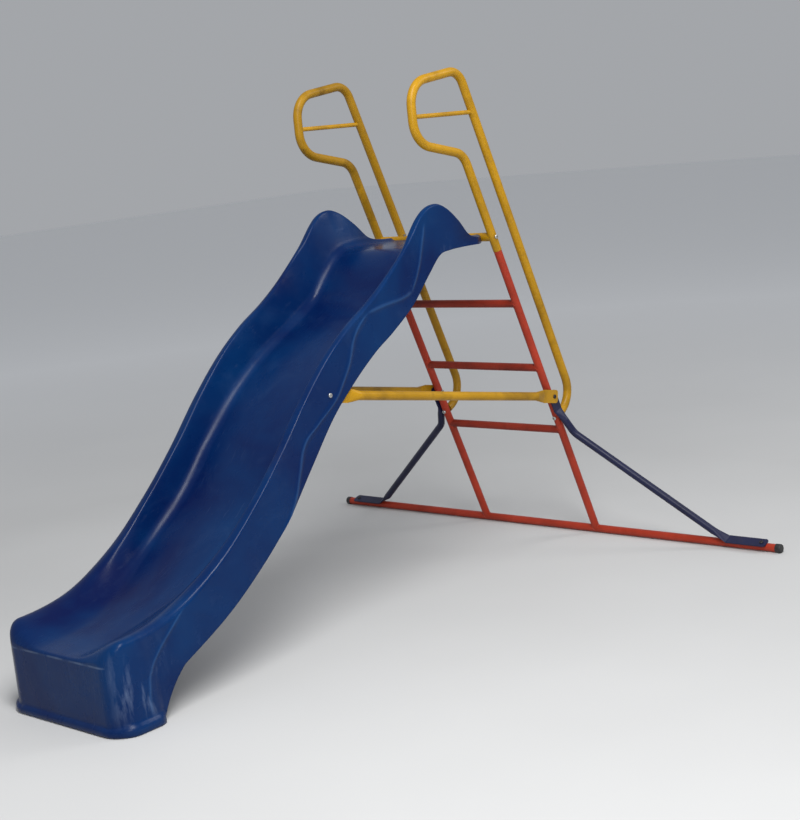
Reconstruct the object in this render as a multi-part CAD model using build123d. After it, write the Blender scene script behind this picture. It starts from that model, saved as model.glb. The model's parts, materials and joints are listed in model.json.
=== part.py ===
from build123d import *
import os
from math import cos, pi, radians, sin, sqrt

# Garden slide: a moulded chute hooked over the top of a leaning tube ladder.
# Millimetres, +X to the side, +Y towards the ladder, +Z up, floor at z = 0.
# The origin is the middle of the whole slide's footprint.

os.makedirs("parts", exist_ok=True)

# ---------------------------------------------------------------- overall sizes
overall_length = 2414.0        # front of the chute's foot to the back of the base bar's caps
base_bar_length = 2206.0       # over both end caps
stile_spacing = 560.0          # centre to centre
ladder_lean = 21.2             # degrees from upright, towards the chute
first_step = 470.0             # base bar to lowest rung, along the stile
step_pitch = 280.0             # rung to rung, and top rung to cross tube
rung_count = 3

# ---------------------------------------------------------------- tube sections
frame_radius = 15.0            # stiles, rungs and base bar
rail_radius = 16.0             # handrails, struts and cross tube
brace_radius = 14.0
crossbar_radius = 8.0
tube_wall = 1.5
flat_thickness = 4.0           # a tube end pressed flat
press_length = 50.0            # from round tube to pressed flat
sleeve_clearance = 0.2         # radial, between a spigot and the tube around it
seat_gap = 0.3                 # between pieces that are bolted face to face
weld_gap = 0.05                # between a tube's coped end and the tube it is welded to
neck_thinner = 0.9             # a pressed neck's last section against the flat's thickness

# ---------------------------------------------------------------- handrails
sleeve_below_cross_tube = 55.0
spigot_above_cross_tube = 40.0
back_tube_offset = 120.0       # rear tube behind the stile
# Corners of the hand loop: (above the cross tube, behind the stile, bend radius).
loop_corners = ((331.0, 0.0, 77.0), (474.0, -213.0, 96.0), (664.0, -137.0, 91.0),
                (600.0, back_tube_offset, 66.0))
foot_bend_radius = 98.0
handrail_foot_height = 532.0   # along the stile
crossbar_front = (557.0, -178.0)   # (above the cross tube, behind the stile)
crossbar_back_height = 438.0   # above the cross tube
plug_length = 30.0             # solid threaded end of a tube
plug_bottom_gap = 5.0          # a bolt stops this far short of its plug's end

# ---------------------------------------------------------------- struts and braces
strut_height = 622.0           # its rear bolt, along the stile
flat_past_bolt = 22.0
flat_before_bolt = 60.0
flat_before_skirt_bolt = 92.0  # longer, so that the round tube starts below the skirt
flat_corner = 12.0
flat_lap = 1.0                 # the flat runs this far into the pressed neck
brace_knee = (338.0, 458.0)    # (from the middle, along the stile)
brace_knee_radius = 70.0
brace_toe = 871.0              # where its slope meets the bar, from the middle
brace_bolt = 1024.0            # from the middle

# ---------------------------------------------------------------- fasteners
bolt_radius = 4.0
bolt_hole_clearance = 0.2
thread_clearance = 0.05
head_radius = 8.0
head_height = 5.0
head_round = 3.0
socket_radius = 2.9            # hexagon socket, across its corners
socket_depth = 2.5
nut_radius = 7.5               # across its corners
nut_height = 6.5
rivet_nut_radius = 5.5
rivet_nut_length = 15.0
rivet_nut_sunk = 1.0           # below the tube's top
cap_over = 1.5                 # an end cap is this much proud of the bar
cap_length = 22.0
cap_plug_length = 25.0
cap_round = 5.0

# ---------------------------------------------------------------- chute
chute_width = 550.0
chute_wall = 6.0
exit_height = 222.0
lip_width = 390.0              # at its back edge, over the cross tube
lip_overhang = 8.0             # behind the cross tube
lip_corner_run = 110.0         # the lip widens to the full chute over this length
wall_reach = 60.0              # from the skirt's face in to the bed's corner
wall_flare = 0.275             # outwards for each millimetre up the channel's wall
channel_depth = 230.0          # of the cutter, more than the tallest wall
bed_corner_radius = 45.0
foot_depth = 180.0             # front face to the back of the foot, on the floor
foot_corner_radius = 65.0
foot_nose = (62.0, 60.0)       # rounding of the rim into the front face: (back, down)
nose_slope = 0.125             # the rim's fall where that rounding starts
foot_back_lean = 0.1           # of the foot's back edge, where it meets the floor
bead_height = 30.0
bead_front = 12.0              # the floor bead's reach in front of the foot
bead_side = 25.0               # and at its sides
strut_bolt_run = 0.482         # where the strut meets the skirt, as a share of the run
strut_bolt_rise = 21.0         # above the bed there
lip_screw_x = 150.0
lip_screw_length = 24.0
lip_screw_socket = 2.0         # depth
# Stations along the chute: (share of the run, share of the drop, rim above the bed,
# skirt below the bed).
stations = (
    (0.000, 0.000, 8, 20),
    (0.055, 0.000, 14, 19),
    (0.080, 0.000, 30, 18),
    (0.104, 0.000, 82, 18),
    (0.135, 0.002, 133, 18),
    (0.165, 0.010, 159, 20),
    (0.200, 0.058, 185, 30),
    (0.250, 0.160, 190, 18),
    (0.310, 0.228, 161, 25),
    (0.360, 0.278, 145, 27),
    (0.420, 0.345, 146, 40),
    (0.480, 0.432, 148, 50),
    (0.545, 0.552, 148, 70),
    (0.610, 0.688, 146, 74),
    (0.680, 0.795, 121, 80),
    (0.760, 0.882, 84, 97),
    (0.860, 0.957, 55, 118),
    (0.930, 0.989, 43, 145),
)
exit_fall = 8.0                # the bed's slope where it ends, over the lip corner's length
skirt_last_station = 16        # the foot's back edge leaves the skirt after this station

# ---------------------------------------------------------------- worked out from these
lean = radians(ladder_lean)
cap_radius = frame_radius + cap_over
base_y = overall_length / 2 - cap_radius
cross_tube_height = first_step + rung_count * step_pitch
half_spacing = stile_spacing / 2
frame_bore = frame_radius - tube_wall
rail_bore = rail_radius - tube_wall
spigot_radius = rail_bore - sleeve_clearance
bolt_hole = bolt_radius + bolt_hole_clearance
thread_hole = bolt_radius + thread_clearance
brace_flat_x = half_spacing + frame_radius + seat_gap + flat_thickness / 2
strut_flat_x = brace_flat_x + flat_thickness + seat_gap


def on_ladder(x, along, behind=0.0):
    """A point beside, along and behind the stiles, from the middle of the base bar.

    The bar lies on its end caps, so its axis is one cap radius above the floor.
    """
    y = base_y - along * sin(lean) + behind * cos(lean)
    z = cap_radius + along * cos(lean) + behind * sin(lean)
    return Vector(x, y, z)


up_stile = on_ladder(0, 1) - on_ladder(0, 0)
behind_stile = on_ladder(0, 0, 1) - on_ladder(0, 0)
sideways = Vector(1, 0, 0)

cross_tube_centre = on_ladder(0, cross_tube_height)
deck_z = cross_tube_centre.Z + rail_radius + seat_gap + chute_wall
lip_y = cross_tube_centre.Y + rail_radius + seat_gap + lip_overhang + chute_wall
front_y = -overall_length / 2 + bead_front
chute_run = lip_y - front_y
chute_drop = deck_z - exit_height
half_chute = chute_width / 2
bed_half_width = half_chute - wall_reach


# ---------------------------------------------------------------- shared shapes
def rod(start, end, radius):
    axis = end - start
    return Solid.make_cylinder(radius, axis.length, Plane(origin=start, z_dir=axis))


def pipe(start, end, radius, bore):
    return rod(start, end, radius) - rod(start, end, bore)


def join(*pieces):
    return Part() + list(pieces)


def bent_rod(path, radius):
    start = Plane(origin=path @ 0, z_dir=path % 0)
    return sweep(start * Circle(radius), path=path)


def flat_end(centre, length_dir, face_dir, width, before, after):
    """A tube end pressed flat, with its two outer corners rounded."""
    rectangle = Pos((after - before) / 2, 0) * Rectangle(before + after, width)
    outline = fillet(rectangle.vertices().group_by(Axis.X)[-1], flat_corner)
    plane = Plane(origin=centre, x_dir=length_dir, z_dir=face_dir)
    return extrude(plane * outline, flat_thickness / 2, both=True)


def pressed_neck(round_end, flat_start, face_dir, radius, width, tube_dir=None):
    """The stretch between the round tube, which runs along tube_dir, and its flat end."""
    axis = flat_start - round_end
    across = axis.cross(face_dir)
    round_face = Plane(origin=round_end, x_dir=across, z_dir=tube_dir or axis) * Circle(radius)
    flat_dir = axis - face_dir * axis.dot(face_dir)
    flat_face = Plane(origin=flat_start, x_dir=across, z_dir=flat_dir) * Ellipse(
        width / 2, flat_thickness / 2 * neck_thinner)
    return loft([round_face, flat_face])


def flat_width(radius):
    """Half the tube's girth: what is left across when it is pressed flat."""
    return pi * radius


def button_bolt(seat, out, shank_length):
    """A domed socket bolt: its head stands on the seat and points out."""
    head_plane = Plane(origin=seat, z_dir=out)
    head = Pos(0, 0, head_height / 2) * Cylinder(head_radius, head_height)
    head = fillet(head.edges().group_by(Axis.Z)[-1], head_round)
    socket = Pos(0, 0, head_height - socket_depth) * extrude(
        RegularPolygon(socket_radius, 6), socket_depth)
    shank = Pos(0, 0, -shank_length / 2) * Cylinder(bolt_radius, shank_length)
    return head_plane * (head - socket + shank)


def hex_nut(seat, out):
    body = extrude(RegularPolygon(nut_radius, 6), nut_height)
    bore = Pos(0, 0, nut_height / 2) * Cylinder(thread_hole, nut_height)
    return Plane(origin=seat, z_dir=out) * (body - bore)


def hole(start, end, radius=bolt_hole):
    return rod(start, end, radius)


def write(name, *solids):
    shape = solids[0] if len(solids) == 1 else Compound(children=list(solids))
    shape.label = name
    export_step(shape, f"parts/{name}.step")


def both_sides(name, shape):
    write(f"{name}_right", shape)
    write(f"{name}_left", mirror(shape, Plane.YZ))


# ---------------------------------------------------------------- ladder frame
def base_bar():
    half = base_bar_length / 2 - cap_length
    start = on_ladder(-half, 0)
    end = on_ladder(half, 0)
    bar = pipe(start, end, frame_radius, frame_bore)
    for side in (-1, 1):
        bar -= rod(on_ladder(side * brace_bolt, 0), on_ladder(side * brace_bolt, frame_radius + 1),
                   rivet_nut_radius + thread_clearance)
    return bar


def base_cap():
    face_x = base_bar_length / 2 - cap_length
    cap = rod(on_ladder(face_x, 0), on_ladder(base_bar_length / 2, 0), cap_radius)
    cap = fillet(cap.edges().group_by(Axis.X)[-1], cap_round)
    plug_start = on_ladder(face_x - cap_plug_length, 0)
    plug = rod(plug_start, on_ladder(face_x + 1, 0), frame_bore - sleeve_clearance)
    return cap + plug


def stile():
    sleeve_end = cross_tube_height - sleeve_below_cross_tube
    top = cross_tube_height + spigot_above_cross_tube
    foot = on_ladder(half_spacing, 0)
    body = rod(foot, on_ladder(half_spacing, sleeve_end), frame_radius)
    body += rod(foot, on_ladder(half_spacing, top), spigot_radius)
    body -= rod(foot, on_ladder(half_spacing, top), spigot_radius - tube_wall)
    body -= rod(on_ladder(0, 0), on_ladder(stile_spacing, 0), frame_radius + weld_gap)
    for along in (strut_height, cross_tube_height):
        body -= hole(on_ladder(0, along), on_ladder(stile_spacing, along))
    body -= hole(on_ladder(half_spacing, handrail_foot_height, -back_tube_offset),
                 on_ladder(half_spacing, handrail_foot_height, back_tube_offset))
    return body


def rung(along):
    tube = pipe(on_ladder(-half_spacing, along), on_ladder(half_spacing, along), frame_radius,
                frame_bore)
    for side in (-1, 1):
        tube -= rod(on_ladder(side * half_spacing, 0), on_ladder(side * half_spacing, 2 * along),
                    frame_radius + weld_gap)
    return tube


def cross_tube():
    left = on_ladder(-half_spacing, cross_tube_height)
    right = on_ladder(half_spacing, cross_tube_height)
    tube = rod(left, right, rail_radius)
    inner = half_spacing - rail_radius - plug_length
    tube -= rod(on_ladder(-inner, cross_tube_height), on_ladder(inner, cross_tube_height), rail_bore)
    for side in (-1, 1):
        tube -= rod(on_ladder(side * half_spacing, 0),
                    on_ladder(side * half_spacing, 2 * cross_tube_height), rail_radius + weld_gap)
        screw = cross_tube_centre + Vector(side * lip_screw_x, 0, 0)
        tube -= rod(screw, screw + Vector(0, 0, 2 * rail_radius), rivet_nut_radius + thread_clearance)
    return tube - hole(left, right, thread_hole)


# ---------------------------------------------------------------- handrails
def handrail_path():
    side = half_spacing
    points = [on_ladder(side, cross_tube_height - sleeve_below_cross_tube)]
    points += [on_ladder(side, cross_tube_height + up, back) for up, back, bend in loop_corners]
    points.append(on_ladder(side, handrail_foot_height, back_tube_offset))
    points.append(on_ladder(side, handrail_foot_height, frame_radius + seat_gap))
    bends = [bend for up, back, bend in loop_corners] + [foot_bend_radius]
    return FilletPolyline(*points, radius=bends)


def handrail():
    path = handrail_path()
    rail = bent_rod(path, rail_radius) - bent_rod(path, rail_bore)
    foot = on_ladder(half_spacing, handrail_foot_height, frame_radius + seat_gap)
    plug = rod(foot, foot + behind_stile * tube_wall, rail_radius - tube_wall / 2)
    rail += plug
    rail -= hole(foot - behind_stile, foot + behind_stile * plug_length, thread_hole)
    rail -= hole(on_ladder(0, cross_tube_height), on_ladder(stile_spacing, cross_tube_height))
    return rail


def grab_crossbar():
    up, back = crossbar_front
    start = on_ladder(half_spacing, cross_tube_height + up, back)
    end = on_ladder(half_spacing, cross_tube_height + crossbar_back_height, back_tube_offset)
    bar = rod(start, end, crossbar_radius) - bent_rod(handrail_path(), rail_radius + weld_gap)
    return bar.solids().sort_by(SortBy.VOLUME)[-1]


# ---------------------------------------------------------------- struts and braces
def strut_ends():
    """The bolt points at the middle of the two flat ends: (rear, front)."""
    rear = on_ladder(strut_flat_x, strut_height)
    bolt_y, bed_z = bed_point(strut_bolt_run)
    front_x = half_chute - chute_wall - seat_gap - flat_thickness / 2
    return rear, Vector(front_x, bolt_y, bed_z + strut_bolt_rise)


def strut():
    rear, front = strut_ends()
    along = Vector(0, rear.Y - front.Y, rear.Z - front.Z).normalized()
    width = flat_width(rail_radius)
    rear_flat = rear - along * flat_before_bolt
    front_flat = front + along * flat_before_skirt_bolt
    axis = (rear_flat - front_flat).normalized()
    rear_round = rear_flat - axis * press_length
    front_round = front_flat + axis * press_length
    shape = join(
        pipe(front_round, rear_round, rail_radius, rail_bore),
        pressed_neck(rear_round, rear_flat, sideways, rail_radius, width),
        pressed_neck(front_round, front_flat, sideways, rail_radius, width),
        flat_end(rear, along, sideways, width, flat_before_bolt + flat_lap, flat_past_bolt),
        flat_end(front, -along, sideways, width, flat_before_skirt_bolt + flat_lap, flat_past_bolt))
    for bolt in (rear, front):
        shape -= hole(bolt - sideways * head_radius, bolt + sideways * head_radius)
    return shape


def brace():
    width = flat_width(brace_radius)
    top = on_ladder(brace_flat_x, strut_height)
    toe_along = frame_radius + seat_gap + flat_thickness / 2
    toe = on_ladder(brace_bolt, toe_along)
    top_flat = top - up_stile * flat_before_bolt
    knee = on_ladder(*brace_knee)
    toe_corner = on_ladder(brace_toe, toe_along)
    upper = (knee - top_flat).normalized()
    lower = (toe_corner - knee).normalized()
    top_round = top_flat + upper * press_length
    toe_round = toe_corner - lower * press_length
    toe_flat = toe_corner + sideways * (press_length / 4)
    path = FilletPolyline(top_round, knee, toe_round, radius=brace_knee_radius)
    toe_length = (toe - toe_flat).length + flat_lap
    shape = join(
        bent_rod(path, brace_radius) - bent_rod(path, brace_radius - tube_wall),
        pressed_neck(top_round, top_flat, sideways, brace_radius, width),
        pressed_neck(toe_round, toe_flat, up_stile, brace_radius, width, lower),
        flat_end(top, up_stile, sideways, width, flat_before_bolt + flat_lap, flat_past_bolt),
        flat_end(toe, sideways, up_stile, width, toe_length, flat_past_bolt))
    shape -= hole(top - sideways * head_radius, top + sideways * head_radius)
    shape -= hole(toe - up_stile * head_radius, toe + up_stile * head_radius)
    return shape


# ---------------------------------------------------------------- chute
def bed_point(run):
    """The bed's (y, z) at a share of the run, between the stations on each side."""
    lower = [row for row in stations if row[0] <= run][-1]
    later = [row for row in stations if row[0] > run] or [(1.0, 1.0)]
    upper = later[0]
    share = (run - lower[0]) / (upper[0] - lower[0])
    drop = lower[1] + share * (upper[1] - lower[1])
    return lip_y - run * chute_run, deck_z - drop * chute_drop


def station_points(offset):
    """Points along the chute, each raised from the bed by offset(rim, skirt)."""
    points = []
    for run, drop, rim, skirt in stations:
        z = deck_z - drop * chute_drop + offset(rim, skirt)
        points.append((0, lip_y - run * chute_run, z))
    return points


def side_outline(inset=0.0):
    """The chute's side view. The inset one is the space inside it, open below."""
    thinner = inset * sqrt(2)
    rim = station_points(lambda rim, skirt: rim - thinner)
    nose_back, nose_down = foot_nose
    nose_y = front_y + nose_back
    nose_z = rim[-1][2] - nose_back * nose_slope
    front = front_y + inset
    back = lip_y - inset
    rim[0] = (0, back, rim[0][2])
    top = Spline(*rim, (0, nose_y, nose_z))
    nose = Spline((0, nose_y, nose_z), (0, front, nose_z - nose_down),
                  tangents=(top % 1, (0, 0, -1)))
    if inset:
        below = -chute_wall
        rest = Polyline((0, front, nose_z - nose_down), (0, front, below), (0, back, below), rim[0])
        edges = [top, nose, rest]
    else:
        skirt = station_points(lambda rim, skirt: -skirt)[:skirt_last_station + 1]
        foot_back = front_y + foot_depth
        under = Spline(*skirt, (0, foot_back, 0),
                       tangents=((0, -1, 0), (0, -foot_back_lean, -1)))
        front_line = Polyline((0, front, nose_z - nose_down), (0, front, 0), (0, foot_back, 0))
        edges = [top, nose, front_line, under, Line(skirt[0], rim[0])]
    return make_face(Wire([edge for part in edges for edge in part.edges()]))


def plan_outline(inset=0.0):
    """The chute from above, narrower at the lip and rounded at the foot."""
    half_lip = lip_width / 2
    corner_y = lip_y - lip_corner_run
    outline = make_face(Polyline(
        (half_lip, lip_y), (half_chute, corner_y), (half_chute, front_y), (-half_chute, front_y),
        (-half_chute, corner_y), (-half_lip, lip_y), close=True))
    outline = fillet(outline.vertices().group_by(Axis.Y)[0], foot_corner_radius)
    return offset(outline, -inset) if inset else outline


def channel(wall=0.0):
    """The space above the bed, or with a wall, that space and the wall around it."""
    lean_length = sqrt(1 + wall_flare ** 2)
    low = bed_half_width - wall_flare * wall + wall * lean_length
    high = bed_half_width + wall_flare * channel_depth + wall * lean_length
    section = make_face(Polyline((-low, -wall), (low, -wall), (high, channel_depth),
                                 (-high, channel_depth), close=True))
    section = fillet(section.vertices().group_by(Axis.Y)[0], bed_corner_radius + wall)
    bed = station_points(lambda rim, skirt: 0)
    start = (0, lip_y + lip_corner_run, deck_z)
    end = (0, front_y, exit_height)
    past_end = (0, front_y - lip_corner_run, exit_height - exit_fall)
    path = Spline(start, *bed, end, past_end,
                  tangents=((0, -1, 0), (0, -lip_corner_run, -exit_fall)))
    across = Plane(origin=start, x_dir=(1, 0, 0), z_dir=(0, -1, 0))
    return sweep(across * section, path=path)


def chute_block(inset):
    side = extrude(side_outline(inset), chute_width, both=True)
    plan = extrude(plan_outline(inset), 2 * deck_z)
    return side & Pos(0, 0, -chute_wall) * plan


def floor_bead():
    """The thick roll around the foot's front and sides, on the floor."""
    depth = foot_depth + bead_front
    middle_y = -overall_length / 2 + depth / 2
    outline = Pos(0, middle_y) * Rectangle(chute_width + 2 * bead_side, depth)
    outline = fillet(outline.vertices().group_by(Axis.Y)[0], foot_corner_radius + bead_front)
    bead = extrude(outline, bead_height)
    rounded = fillet(bead.edges().group_by(Axis.Z)[-1], bead_front - 1)
    return rounded - extrude(plan_outline(chute_wall), bead_height)


def lip_screw_head(top):
    """A countersunk head, flush with the bed."""
    height = head_radius - bolt_radius
    cone = Cone(bolt_radius, head_radius, height)
    return Pos(top.X, top.Y, top.Z - height / 2) * cone


def chute():
    shell = chute_block(0) - channel()
    shell -= chute_block(chute_wall) - channel(chute_wall)
    shell += floor_bead()
    half_tube = Vector(half_spacing, 0, 0)
    notch_radius = rail_radius + seat_gap / 2
    shell -= rod(cross_tube_centre - half_tube, cross_tube_centre + half_tube, notch_radius)
    for side in (-1, 1):
        screw = Vector(side * lip_screw_x, cross_tube_centre.Y, deck_z)
        shell -= rod(screw - Vector(0, 0, 2 * chute_wall), screw, bolt_hole)
        shell -= lip_screw_head(screw)
    front_bolt = strut_ends()[1]
    reach = Vector(2 * chute_wall, 0, 0)
    for end in (front_bolt, Vector(-front_bolt.X, front_bolt.Y, front_bolt.Z)):
        shell -= hole(end - reach, end + reach)
    return shell


# ---------------------------------------------------------------- fasteners
def lip_screws():
    screws = []
    for side in (-1, 1):
        top = Vector(side * lip_screw_x, cross_tube_centre.Y, deck_z)
        head = lip_screw_head(top)
        shank = rod(top - Vector(0, 0, lip_screw_length), top - Vector(0, 0, lip_screw_socket), bolt_radius)
        screws.append(head + shank - rod(top - Vector(0, 0, lip_screw_socket), top, socket_radius))
    return screws


def rivet_nuts():
    """Threaded bushes set into the tops of the base bar and the cross tube."""
    nuts = []
    for side in (-1, 1):
        for top, down in (
                (on_ladder(side * brace_bolt, frame_radius), -up_stile),
                (cross_tube_centre + Vector(side * lip_screw_x, 0, rail_radius), Vector(0, 0, -1))):
            bottom = top + down * rivet_nut_length
            nuts.append(pipe(top + down * rivet_nut_sunk, bottom, rivet_nut_radius, thread_hole))
    return nuts


def mirrored_pair(shape):
    return [shape, mirror(shape, Plane.YZ)]


def handrail_top_bolts():
    seat = on_ladder(half_spacing + rail_radius, cross_tube_height)
    return mirrored_pair(button_bolt(seat, sideways, rail_radius * 2 + plug_length - plug_bottom_gap))


def handrail_foot_bolts():
    seat = on_ladder(half_spacing, handrail_foot_height, -frame_radius)
    return mirrored_pair(button_bolt(seat, -behind_stile, 2 * frame_radius + plug_length))


def strut_rear_bolts():
    seat = on_ladder(strut_flat_x + flat_thickness / 2, strut_height)
    inner_face = half_spacing - frame_radius
    return mirrored_pair(button_bolt(seat, sideways, seat.X - inner_face + nut_height))


def strut_rear_nuts():
    seat = on_ladder(half_spacing - frame_radius, strut_height)
    return mirrored_pair(hex_nut(seat, -sideways))


def strut_front_bolts():
    front = strut_ends()[1]
    seat = Vector(half_chute, front.Y, front.Z)
    plate_face = front.X - flat_thickness / 2
    return mirrored_pair(button_bolt(seat, sideways, half_chute - plate_face + nut_height))


def strut_front_nuts():
    front = strut_ends()[1]
    return mirrored_pair(hex_nut(front - sideways * (flat_thickness / 2), -sideways))


def brace_foot_bolts():
    seat = on_ladder(brace_bolt, frame_radius + seat_gap + flat_thickness)
    shank = seat_gap + flat_thickness + rivet_nut_length
    return mirrored_pair(button_bolt(seat, up_stile, shank))


# ---------------------------------------------------------------- one file per piece
write("slide_chute", chute())
write("base_bar", base_bar())
both_sides("base_cap", base_cap())
both_sides("stile", stile())
for number, rung_name in enumerate(("lower", "middle", "upper")[:rung_count]):
    write(f"rung_{rung_name}", rung(first_step + number * step_pitch))
write("top_cross_tube", cross_tube())
both_sides("handrail", handrail())
both_sides("grab_crossbar", grab_crossbar())
both_sides("strut", strut())
both_sides("brace", brace())
write("lip_screws", *lip_screws())
write("rivet_nuts", *rivet_nuts())
write("handrail_top_bolts", *handrail_top_bolts())
write("handrail_foot_bolts", *handrail_foot_bolts())
write("strut_rear_bolts", *strut_rear_bolts())
write("strut_rear_nuts", *strut_rear_nuts())
write("strut_front_bolts", *strut_front_bolts())
write("strut_front_nuts", *strut_front_nuts())
write("brace_foot_bolts", *brace_foot_bolts())
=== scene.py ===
"""Garden slide: the finished look of the moulded chute and its tube frame."""

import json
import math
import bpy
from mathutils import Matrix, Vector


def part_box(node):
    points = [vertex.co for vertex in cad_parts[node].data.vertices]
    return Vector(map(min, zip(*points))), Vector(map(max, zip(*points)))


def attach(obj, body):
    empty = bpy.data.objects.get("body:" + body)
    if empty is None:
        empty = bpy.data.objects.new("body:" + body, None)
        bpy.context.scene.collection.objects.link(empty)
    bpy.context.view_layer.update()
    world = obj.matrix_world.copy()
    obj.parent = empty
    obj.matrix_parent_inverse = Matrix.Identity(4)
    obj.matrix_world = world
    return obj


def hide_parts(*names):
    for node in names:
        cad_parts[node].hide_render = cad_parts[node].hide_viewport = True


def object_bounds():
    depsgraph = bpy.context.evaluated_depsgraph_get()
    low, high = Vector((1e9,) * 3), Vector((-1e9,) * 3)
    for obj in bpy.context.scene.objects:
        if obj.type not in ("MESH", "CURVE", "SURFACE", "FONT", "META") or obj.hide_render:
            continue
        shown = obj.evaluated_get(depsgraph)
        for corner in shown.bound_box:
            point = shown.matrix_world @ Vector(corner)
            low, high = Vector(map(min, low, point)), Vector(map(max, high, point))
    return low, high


bl_info = {
    "name": "Garden Slide",
    "version": (1, 0, 0),
    "blender": (4, 5, 0),
    "location": "3D View > Sidebar > Slide",
    "description": "Builds the chute, the tube frame's finishes and a plain studio",
    "category": "Object",
}

import bmesh
import bpy
from mathutils import Matrix, Vector

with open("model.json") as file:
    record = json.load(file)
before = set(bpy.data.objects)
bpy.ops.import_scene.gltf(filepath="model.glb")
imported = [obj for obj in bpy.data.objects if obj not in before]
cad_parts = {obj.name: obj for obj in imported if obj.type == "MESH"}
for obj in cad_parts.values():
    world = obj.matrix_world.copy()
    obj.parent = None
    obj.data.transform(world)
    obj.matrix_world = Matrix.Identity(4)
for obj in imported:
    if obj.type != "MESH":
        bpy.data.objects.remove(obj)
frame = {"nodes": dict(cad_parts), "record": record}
NODES = frame["nodes"]
CAD_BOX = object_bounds()
CHUTE_LOW, CHUTE_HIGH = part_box("slide_chute")

# The channel: how far the wall leans out for each metre up, half the bed's width with its
# corners taken as sharp, and the radius of those corners.
WALL_FLARE = 0.275
BED_HALF = 0.215
BED_CORNER = 0.045

# The foot: height of the run-out's edge, depth along the floor, how far the floor bead
# stands out, and the radius of the upright corners.
EXIT_HEIGHT = 0.222
FOOT_DEPTH = 0.180
BEAD_FRONT = 0.012
FOOT_CORNER = 0.065
FOOT_BACK_LEAN = 0.014
FOOT_TOP_SHARE = 0.860

# The lip: half its width at the back edge, the run over which it widens, and its thickness.
LIP_HALF = 0.195
LIP_CORNER_RUN = 0.110
LIP_DEPTH = 0.020

# Rounding of the top face's back and front edges, and of the rim's ends over the nose.
BACK_ROUND = 0.008
FRONT_ROUND = 0.009
NOSE_RUN = 0.062
NOSE_DROP = 0.060

# The run-out is a soft dish: where it starts and is complete, measured from the front.
DISH_START = 0.62
DISH_FULL = 0.16
DISH_FLAT = 0.085
SIDE_ROUND = 0.030
SIDE_DROP = 0.022
FRONT_DISH = 0.013

# Shares of half the section at which corner, wall, rim and rim edge begin, and the number
# of divisions in each part.
BREAKS = (0.22, 0.48, 0.70, 0.84)
DIVISIONS = (7, 9, 6, 5, 5)

# Half width of a moulded line where it rises out of the skirt, and where the skirt's face is.
LINE_REACH = 0.013
SKIRT_FACE = 0.2725

# Along the chute: share of the run, share of the drop, rim above the bed, skirt below it.
STATIONS = (
    (0.000, 0.000, 0.008, 0.020),
    (0.055, 0.000, 0.014, 0.019),
    (0.080, 0.000, 0.030, 0.018),
    (0.104, 0.000, 0.082, 0.018),
    (0.135, 0.002, 0.133, 0.018),
    (0.165, 0.010, 0.159, 0.020),
    (0.200, 0.058, 0.185, 0.030),
    (0.250, 0.160, 0.190, 0.018),
    (0.310, 0.228, 0.161, 0.025),
    (0.360, 0.278, 0.145, 0.027),
    (0.420, 0.345, 0.146, 0.040),
    (0.480, 0.432, 0.148, 0.050),
    (0.545, 0.552, 0.148, 0.070),
    (0.610, 0.688, 0.146, 0.074),
    (0.680, 0.795, 0.121, 0.080),
    (0.760, 0.882, 0.084, 0.097),
    (0.860, 0.957, 0.055, 0.118),
    (0.930, 0.989, 0.043, 0.145),
    (1.000, 1.000, 0.036, 0.180),
)


# ------------------------------------------------------------------ settings
class SlideChuteSettings(bpy.types.PropertyGroup):
    half_width: bpy.props.FloatProperty(
        name="Half width", description="From the middle to the skirt's face",
        default=0.275, unit="LENGTH")
    wall: bpy.props.FloatProperty(
        name="Wall", description="Thickness of the moulding", default=0.006, unit="LENGTH")
    rim_round: bpy.props.FloatProperty(
        name="Rim rounding", description="Radius of the rim's two edges",
        default=0.008, unit="LENGTH")
    foot_flare: bpy.props.FloatProperty(
        name="Foot flare", description="How far the foot's sides lean out above the bead",
        default=0.013, unit="LENGTH")
    rows: bpy.props.IntProperty(
        name="Rows", description="Divisions along the chute", default=190, min=20)
    line_height: bpy.props.FloatProperty(
        name="Line height", description="How far the skirts' moulded lines stand out",
        default=0.0026, unit="LENGTH")
    deep_blue: bpy.props.FloatVectorProperty(
        name="Deep blue", description="The plastic's darker tone", subtype="COLOR", size=3,
        min=0.0, max=1.0, default=(0.0008, 0.0065, 0.056))
    open_blue: bpy.props.FloatVectorProperty(
        name="Open blue", description="The plastic's lighter tone", subtype="COLOR", size=3,
        min=0.0, max=1.0, default=(0.0008, 0.0255, 0.105))


class SlideTubeSettings(bpy.types.PropertyGroup):
    red: bpy.props.FloatVectorProperty(
        name="Ladder red", description="Powder coat on the ladder", subtype="COLOR", size=3,
        min=0.0, max=1.0, default=(0.36, 0.034, 0.014))
    yellow: bpy.props.FloatVectorProperty(
        name="Rail yellow", description="Powder coat on handrails and struts",
        subtype="COLOR", size=3, min=0.0, max=1.0, default=(0.43, 0.222, 0.005))
    blue: bpy.props.FloatVectorProperty(
        name="Brace blue", description="Powder coat on the braces", subtype="COLOR", size=3,
        min=0.0, max=1.0, default=(0.012, 0.014, 0.048))
    weld_size: bpy.props.FloatProperty(
        name="Weld size", description="Radius of a weld bead", default=0.0022, unit="LENGTH")


class SlideStageSettings(bpy.types.PropertyGroup):
    lens: bpy.props.FloatProperty(
        name="Lens", description="Focal length for a 36 mm wide sensor", default=69.8)
    key_power: bpy.props.FloatProperty(
        name="Key light", description="Power of the main soft light", default=250.0,
        unit="POWER")
    fill_power: bpy.props.FloatProperty(
        name="Fill light", description="Power of the fill light", default=70.0, unit="POWER")
    sky: bpy.props.FloatProperty(
        name="Surroundings", description="Strength of the even light all round", default=0.40)


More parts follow.
